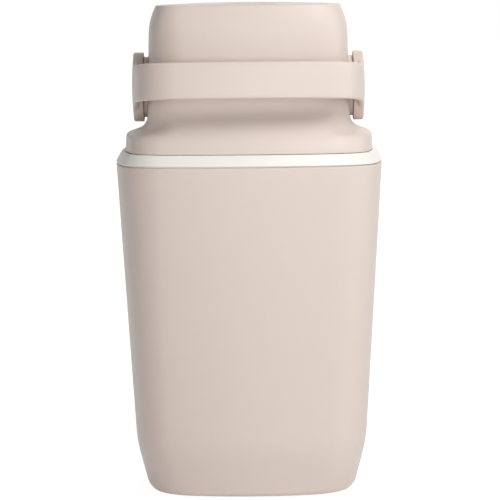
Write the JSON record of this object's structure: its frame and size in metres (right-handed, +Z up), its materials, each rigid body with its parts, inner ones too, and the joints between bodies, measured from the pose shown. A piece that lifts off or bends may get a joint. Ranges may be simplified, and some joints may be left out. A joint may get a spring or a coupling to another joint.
{
  "type": "diaper pail",
  "caption": "Tapered diaper pail with a bevelled collar, a hinged hood with a lid and sprung odour flaps, and a band handle that locks the hood.",
  "frame": {"origin": "on the floor under the middle of the tub", "axes": "+Z up, front of the pail towards -Y, +X to the right seen from the front"},
  "size_m": [0.238, 0.238, 0.4325],
  "materials": {
    "blush_plastic": "satin",
    "white_plastic": "satin",
    "grey_plastic": "satin",
    "soft_rubber": "matt",
    "steel": "bright"
  },
  "bodies": {
    "base": {"tub": "blush_plastic", "foot_pads": "soft_rubber", "collar": "white_plastic", "hood_hinge_pin": "steel", "lock_studs": "steel", "collar_seal": "soft_rubber", "bag_ring": "grey_plastic"},
    "hood": {"hood": "blush_plastic", "right_axle_bush": "grey_plastic", "left_axle_bush": "grey_plastic", "chute": "white_plastic", "chute_screws": "steel", "right_flap_pin": "steel", "left_flap_pin": "steel", "right_flap_spring": "steel", "left_flap_spring": "steel", "lid_bridge": "blush_plastic", "lid_hinge_pin": "steel"},
    "lid": {"lid": "blush_plastic", "lid_liner": "white_plastic", "lid_seal": "soft_rubber"},
    "handle": {"handle": "blush_plastic", "right_lock_hook": "grey_plastic", "left_lock_hook": "grey_plastic", "hook_washers": "steel", "hook_screws": "steel"},
    "left_flap": {"left_flap": "white_plastic", "left_flap_lip": "soft_rubber"},
    "right_flap": {"right_flap": "white_plastic", "right_flap_lip": "soft_rubber"}
  },
  "joints": [
    {"name": "hood_hinge", "type": "hinge", "parent": "base", "child": "hood", "pos_m": [0, 0.115, 0.3059], "axis": [-1, 0, 0], "range_deg": [0, 100]},
    {"name": "lid_hinge", "type": "hinge", "parent": "hood", "child": "lid", "pos_m": [0, 0.0579, 0.4261], "axis": [-1, 0, 0], "range_deg": [0, 90]},
    {"name": "handle_swing", "type": "hinge", "parent": "hood", "child": "handle", "pos_m": [0, 0, 0.3574], "axis": [-1, 0, 0], "range_deg": [0, 85]},
    {"name": "left_flap_hinge", "type": "hinge", "parent": "hood", "child": "left_flap", "pos_m": [-0.0628, 0, 0.3953], "axis": [0, 1, 0], "range_deg": [0, 75], "stiffness_Nm_per_rad": 0.05, "springref_deg": -34.38},
    {"name": "right_flap_hinge", "type": "hinge", "parent": "hood", "child": "right_flap", "pos_m": [0.0628, 0, 0.3953], "axis": [0, -1, 0], "range_deg": [0, 75], "stiffness_Nm_per_rad": 0.05, "springref_deg": -34.38}
  ]
}
